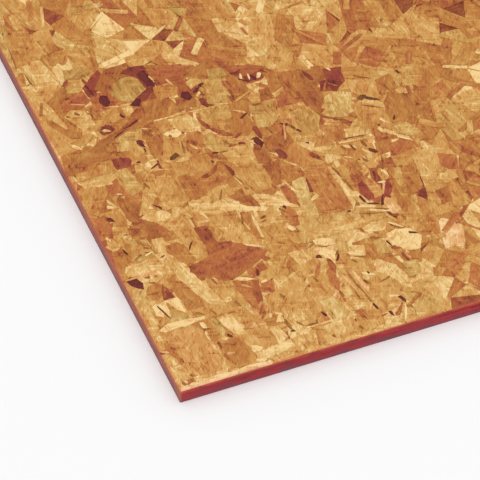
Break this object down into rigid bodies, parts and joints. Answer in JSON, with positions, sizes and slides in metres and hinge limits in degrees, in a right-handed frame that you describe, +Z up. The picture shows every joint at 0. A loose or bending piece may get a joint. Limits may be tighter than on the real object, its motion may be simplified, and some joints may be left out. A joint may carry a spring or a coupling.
{
  "type": "oriented strand board sheet",
  "caption": "Flat square-edged wood strand board sheet with a pressed mosaic of strands on both faces and red sealed edges.",
  "frame": {"origin": "middle of the sheet's underside", "axes": "+Z up through the thickness, +Y along the long side, +X along the short side"},
  "size_m": [1.2192, 2.4384, 0.0111],
  "materials": {
    "strand_board": "pressed wood strands bonded with resin, satin, with red sealed edges"
  },
  "bodies": {
    "root": {"osb_sheet": "strand_board"}
  },
  "joints": []
}
